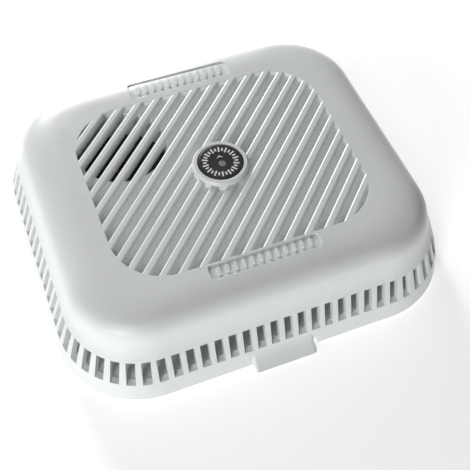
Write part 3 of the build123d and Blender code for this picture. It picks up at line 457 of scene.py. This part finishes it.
def bump(tree, shader, value, depth, strength=1.0, rounded=0.0):
    """Surface relief in metres, on top of edges that are rounded for shading."""
    node = tree.nodes.new("ShaderNodeBump")
    node.inputs["Distance"].default_value = depth
    node.inputs["Strength"].default_value = strength
    tree.links.new(value, node.inputs["Height"])
    if rounded:
        edge = tree.nodes.new("ShaderNodeBevel")
        edge.samples = 6
        edge.inputs["Radius"].default_value = rounded
        tree.links.new(edge.outputs["Normal"], node.inputs["Normal"])
    tree.links.new(node.outputs["Normal"], shader.inputs["Normal"])


def moulded(name, colour, roughness, rounded=0.0, grain=0.00002):
    """Moulded plastic: a slightly uneven tint, patchy sheen and a fine spark-eroded grain."""
    material, tree, shader, place = start_material(name)
    tint = spread(tree, noise(tree, place, 45), 0, 1)
    darker = tuple(value * 0.965 for value in colour)
    tree.links.new(blend(tree, tint, darker, colour), shader.inputs["Base Color"])
    sheen = noise(tree, place, 160)
    tree.links.new(spread(tree, sheen, roughness - 0.05, roughness + 0.05), shader.inputs["Roughness"])
    bump(tree, shader, noise(tree, place, 2600, 3), grain, 0.35, rounded)
    shader.inputs["Specular IOR Level"].default_value = 0.45
    return material


def metal(name, colour, roughness, stretch=(1, 1, 1), scale=900):
    """Plated or rolled metal with fine lines and small stains."""
    material, tree, shader, place = start_material(name)
    stain = spread(tree, noise(tree, place, 260), 0, 1)
    darker = tuple(value * 0.72 for value in colour)
    tree.links.new(blend(tree, stain, darker, colour), shader.inputs["Base Color"])
    lines = noise(tree, place, scale, 6, stretch)
    tree.links.new(spread(tree, lines, roughness - 0.08, roughness + 0.12), shader.inputs["Roughness"])
    shader.inputs["Metallic"].default_value = 1.0
    bump(tree, shader, lines, 0.00001, 0.5)
    return material


def board(name, colour):
    """Solder mask over copper tracks, with bare tinned spots."""
    material, tree, shader, place = start_material(name)
    tracks = tree.nodes.new("ShaderNodeTexBrick")
    tracks.inputs["Scale"].default_value = 130
    tracks.inputs["Mortar Size"].default_value = 0.045
    tracks.inputs["Color1"].default_value = (0, 0, 0, 1)
    tracks.inputs["Color2"].default_value = (0, 0, 0, 1)
    tracks.inputs["Mortar"].default_value = (1, 1, 1, 1)
    tree.links.new(place, tracks.inputs["Vector"])
    lighter = tuple(min(1, value * 1.9 + 0.02) for value in colour)
    spots = tree.nodes.new("ShaderNodeTexVoronoi")
    spots.inputs["Scale"].default_value = 260
    tree.links.new(place, spots.inputs["Vector"])
    spot = spread(tree, spots.outputs["Distance"], 1, 0, 0.16, 0.2)
    masked = blend(tree, tracks.outputs["Color"], colour, lighter)
    tree.links.new(blend(tree, spot, masked, (0.7, 0.68, 0.6)), shader.inputs["Base Color"])
    tree.links.new(spread(tree, noise(tree, place, 400), 0.25, 0.4), shader.inputs["Roughness"])
    tree.links.new(spot, shader.inputs["Metallic"])
    bump(tree, shader, tracks.outputs["Color"], 0.00003, 0.6)
    return material


def jacket(name, colour):
    """Battery jacket: a dark sleeve with a copper-coloured collar at the terminal end."""
    material, tree, shader, place = start_material(name)
    split = tree.nodes.new("ShaderNodeSeparateXYZ")
    tree.links.new(place, split.inputs["Vector"])
    collar = spread(tree, split.outputs["Y"], 0, 1, 0.0095, 0.0097)
    foil = blend(tree, spread(tree, noise(tree, place, 220), 0, 1), colour, tuple(v * 1.5 for v in colour))
    tree.links.new(blend(tree, collar, foil, (0.62, 0.33, 0.16)), shader.inputs["Base Color"])
    tree.links.new(spread(tree, noise(tree, place, 600), 0.25, 0.4), shader.inputs["Roughness"])
    shader.inputs["Metallic"].default_value = 0.6
    bump(tree, shader, noise(tree, place, 500), 0.00002, 0.4)
    return material


def lens(name, colour, roughness=0.12):
    """Clear or tinted moulded lens with faint flow lines."""
    material, tree, shader, place = start_material(name)
    flow = spread(tree, noise(tree, place, 300, 3, (1, 1, 4)), 0, 1)
    tree.links.new(blend(tree, flow, tuple(v * 0.8 for v in colour), colour), shader.inputs["Base Color"])
    tree.links.new(spread(tree, flow, roughness, roughness + 0.08, 0, 1), shader.inputs["Roughness"])
    shader.inputs["Transmission Weight"].default_value = 0.35
    return material


def paper(name, colour):
    """Blank label stock with fibres."""
    material, tree, shader, place = start_material(name)
    fibre = spread(tree, noise(tree, place, 1400, 6, (1, 0.25, 1)), 0, 1)
    tree.links.new(blend(tree, fibre, tuple(v * 0.9 for v in colour), colour), shader.inputs["Base Color"])
    tree.links.new(spread(tree, fibre, 0.6, 0.75, 0, 1), shader.inputs["Roughness"])
    bump(tree, shader, fibre, 0.00001, 0.5)
    return material


MATERIALS = {
    "cover_white": lambda n, c: moulded(n, c, 0.33, rounded=0.00028),
    "base_white": lambda n, c: moulded(n, c, 0.5, rounded=0.0002),
    "button_black": lambda n, c: moulded(n, c, 0.36, rounded=0.0002),
    "mark_white": lambda n, c: moulded(n, c, 0.55),
    "component_black": lambda n, c: moulded(n, c, 0.55, grain=0.00003),
    "sensor_grey": lambda n, c: moulded(n, c, 0.5),
    "capacitor_sleeve": lambda n, c: moulded(n, c, 0.3),
    "ferrite_grey": lambda n, c: moulded(n, c, 0.7, grain=0.00006),
    "lead_red": lambda n, c: moulded(n, c, 0.4),
    "lead_black": lambda n, c: moulded(n, c, 0.4),
    "ceramic_white": lambda n, c: moulded(n, c, 0.3, grain=0.00001),
    "screw_steel": lambda n, c: metal(n, c, 0.32),
    "spring_steel": lambda n, c: metal(n, c, 0.28, (1, 1, 6)),
    "tinned_pin": lambda n, c: metal(n, c, 0.25),
    "brass": lambda n, c: metal(n, c, 0.3, (6, 1, 1)),
    "board_green": board,
    "battery_jacket": jacket,
    "pipe_clear": lens,
    "led_red": lens,
    "label_paper": paper,
}


def dress_nodes():
    """Every CAD node takes the material of its slot in the record."""
    colours = {entry["slot"]: tuple(entry["base_color"][:3]) for entry in frame["record"]["materials"]}
    made = {slot: MATERIALS[slot](slot, colour) for slot, colour in colours.items()}
    for part in frame["record"]["subparts"]:
        mesh = frame["nodes"][part["node"]].data
        mesh.materials.clear()
        mesh.materials.append(made[part["material_slot"]])
    return made


# ---------------------------------------------------------------- camera
CAMERA_PLACE = Vector((-0.068543, -0.175817, 0.258362))
CAMERA_AIM = Vector((-0.002064, -0.020508, 0.018))
CAMERA_ROLL = math.radians(2.138)
LENS_MM = 64.836
SENSOR_MM = 36.0


def add_camera():
    """Looks down at the alarm from its front left, as a product photograph does."""
    data = bpy.data.cameras.new("camera")
    data.lens = LENS_MM
    data.sensor_width = SENSOR_MM
    camera = bpy.data.objects.new("camera", data)
    bpy.context.scene.collection.objects.link(camera)
    view = (CAMERA_AIM - CAMERA_PLACE).normalized()
    level_right = view.cross(Vector((0, 0, 1))).normalized()
    level_up = level_right.cross(view)
    right = level_right * math.cos(CAMERA_ROLL) + level_up * math.sin(CAMERA_ROLL)
    up = right.cross(view)
    turn = Matrix((right, up, -view)).transposed().to_4x4()
    camera.matrix_world = Matrix.Translation(CAMERA_PLACE) @ turn
    bpy.context.scene.camera = camera


# ---------------------------------------------------------------- studio
AIM = Vector((0, 0, 0.02))
# name, place, size, energy
LIGHTS = (
    ("back", (0.0, 1.046, 0.34), 0.35, 13.0),
    ("front_left", (-0.74, -0.74, 0.34), 0.35, 5.4),
    ("left", (-1.046, 0.0, 0.34), 0.35, 1.3),
    ("high_left", (-0.55, -0.55, 0.778), 0.35, 2.2),
    ("high_right", (0.778, 0.0, 0.778), 0.35, 0.8),
)
WORLD_STRENGTH = 0.02
FLOOR_TONE = 0.9
FLOOR_GLOW = 0.52


def add_lights():
    """Area lamps that all face the alarm, and a faint even sky."""
    for name, place, size, energy in LIGHTS:
        data = bpy.data.lights.new(name, "AREA")
        data.energy = energy
        data.size = size
        lamp = bpy.data.objects.new(name, data)
        lamp.location = place
        lamp.rotation_euler = (AIM - Vector(place)).to_track_quat("-Z", "Y").to_euler()
        bpy.context.scene.collection.objects.link(lamp)
    world = bpy.data.worlds.new("studio")
    world.use_nodes = True
    world.node_tree.nodes["Background"].inputs["Color"].default_value = (1, 1, 1, 1)
    world.node_tree.nodes["Background"].inputs["Strength"].default_value = WORLD_STRENGTH
    bpy.context.scene.world = world


def add_floor():
    """A plain white floor that glows a little, as a light table does."""
    corners = [(x * FLOOR_HALF, y * FLOOR_HALF, 0) for x, y in ((-1, -1), (1, -1), (1, 1), (-1, 1))]
    floor = build_object("floor", corners, [(0, 1, 2, 3)])
    material, tree, shader, place = start_material("floor_white")
    tone = (FLOOR_TONE, FLOOR_TONE, FLOOR_TONE)
    shade = spread(tree, noise(tree, place, 3), 0, 1)
    tree.links.new(blend(tree, shade, tuple(v * 0.995 for v in tone), tone), shader.inputs["Base Color"])
    shader.inputs["Roughness"].default_value = 0.9
    shader.inputs["Emission Color"].default_value = (*tone, 1)
    shader.inputs["Emission Strength"].default_value = FLOOR_GLOW
    floor.data.materials.append(material)


made = dress_nodes()
cover = build_cover()
cover.data.materials.clear()
cover.data.materials.append(made["cover_white"])
add_camera()
add_floor()
add_lights()
bpy.context.scene.view_settings.view_transform = "Standard"
